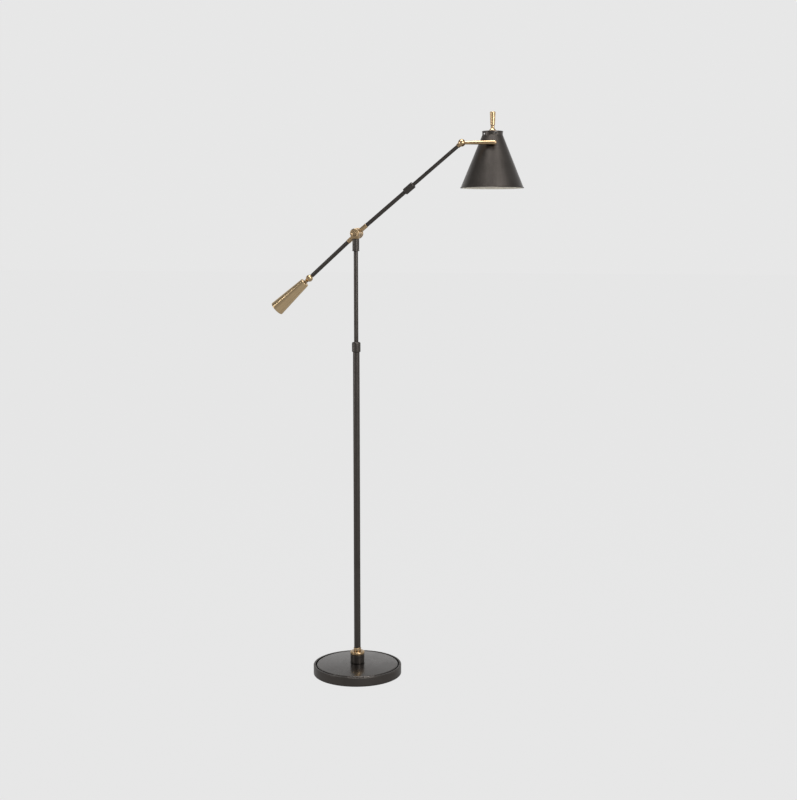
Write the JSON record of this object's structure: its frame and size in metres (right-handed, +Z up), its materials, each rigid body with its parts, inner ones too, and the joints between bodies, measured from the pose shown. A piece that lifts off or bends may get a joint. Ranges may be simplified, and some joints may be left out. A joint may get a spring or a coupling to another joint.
{
  "type": "pharmacy floor lamp",
  "caption": "Floor lamp with a weighted round base, telescoping mast, counterweighted tilting arm, side rod and conical metal shade with a rotary switch on top.",
  "frame": {"origin": "centre of the felt pad's underside, on the mast's axis", "axes": "+Z up the mast, +X from the mast towards the shade, +Y behind"},
  "size_m": [0.7012, 0.2744, 1.5731],
  "materials": {
    "bronze": "satin oil-rubbed bronze",
    "dish_bronze": "glossy dark bronze",
    "brass": "satin antique brass",
    "brushed_brass": "brushed lengthwise",
    "cast_weight": "as cast",
    "steel": "zinc plated",
    "felt": "wool felt",
    "nylon": "moulded nylon",
    "rubber": "soft",
    "white_reflector": "matt white",
    "phenolic": "moulded phenolic",
    "bulb_cap_metal": "rolled",
    "frosted_glass": "frosted"
  },
  "bodies": {
    "base": {"base_ring": "bronze", "base_dish": "dish_bronze", "base_weight": "cast_weight", "base_cover": "steel", "base_screws": "steel", "felt_pad": "felt", "base_nipple": "steel", "base_nut": "steel", "base_washer": "steel", "mast_plug": "steel", "base_hub": "bronze", "hub_ring": "brass", "hub_ferrule": "brass", "cord_grommet": "rubber", "lower_tube": "bronze", "mast_collet": "nylon"},
    "height_collar": {"mast_collar": "bronze"},
    "riser": {"upper_tube": "bronze", "riser_guide": "nylon", "swivel_stop_ring": "bronze"},
    "head": {"pivot_sleeve": "bronze", "pivot_block": "brass", "friction_washer": "nylon"},
    "tension": {"tension_knob": "brass"},
    "arm": {"arm_hub": "brass", "pivot_bolt": "steel", "pivot_cap": "brass", "rear_tube": "bronze", "front_tube": "bronze", "arm_collet": "brass", "rear_knuckle": "brass", "rear_knuckle_screw": "brass"},
    "counterweight_arm": {"weight_knuckle": "brass", "counterweight": "brushed_brass"},
    "reach_collar": {"arm_collar": "bronze"},
    "extension": {"extension_tube": "bronze", "front_knuckle": "brass"},
    "rod": {"rod_knuckle": "brass", "rod_pin": "steel", "side_rod": "brass", "pivot_post": "brass", "pivot_nut": "brass"},
    "shade": {"shade_shell": "bronze", "shade_liner": "white_reflector", "vent_collar": "bronze", "shade_cap": "bronze", "pivot_bush": "brass", "knob_seat": "brass", "holder_nipple": "steel", "switch_housing": "phenolic", "lampholder": "phenolic", "bulb_cap": "bulb_cap_metal", "bulb_glass": "frosted_glass"},
    "switch": {"switch_knob": "brass", "switch_shaft": "steel"}
  },
  "joints": [
    {"name": "collar_twist", "type": "hinge", "parent": "base", "child": "height_collar", "pos_m": [0, 0, 0.93], "axis": [0, 0, 1], "range_deg": [0, 90]},
    {"name": "height_slide", "type": "slide", "parent": "base", "child": "riser", "axis": [0, 0, 1], "range_m": [-0.245, 0.12]},
    {"name": "head_swivel", "type": "hinge", "parent": "riser", "child": "head", "pos_m": [0, 0, 1.21], "axis": [0, 0, 1], "range_deg": [-170, 170]},
    {"name": "tension_turn", "type": "hinge", "parent": "head", "child": "tension", "pos_m": [0, 0, 1.247], "axis": [0, -1, 0], "range_deg": [0, 180]},
    {"name": "arm_tilt", "type": "hinge", "parent": "head", "child": "arm", "pos_m": [0, 0.0165, 1.247], "axis": [0, -1, 0], "range_deg": [-60, 34]},
    {"name": "counterweight_tilt", "type": "hinge", "parent": "arm", "child": "counterweight_arm", "pos_m": [-0.13808, 0.0165, 1.12268], "axis": [0, -1, 0], "range_deg": [-35, 18]},
    {"name": "reach_twist", "type": "hinge", "parent": "arm", "child": "reach_collar", "pos_m": [0.14608, 0.0165, 1.36849], "axis": [0.7688, 0, 0.6394], "range_deg": [0, 90]},
    {"name": "reach_slide", "type": "slide", "parent": "arm", "child": "extension", "axis": [0.7688, 0, 0.6394], "range_m": [-0.12, 0.01]},
    {"name": "rod_turn", "type": "hinge", "parent": "extension", "child": "rod", "pos_m": [0.29008, 0.0165, 1.48826], "axis": [1, 0, 0], "range_deg": [-45, 45]},
    {"name": "shade_tilt", "type": "hinge", "parent": "rod", "child": "shade", "pos_m": [0.3749, 0.0165, 1.48826], "axis": [0, -1, 0], "range_deg": [-18, 60]},
    {"name": "switch_turn", "type": "hinge", "parent": "shade", "child": "switch", "pos_m": [0.3669, 0.0625, 1.55], "axis": [0, 0, 1], "range_deg": [0, 270]}
  ]
}
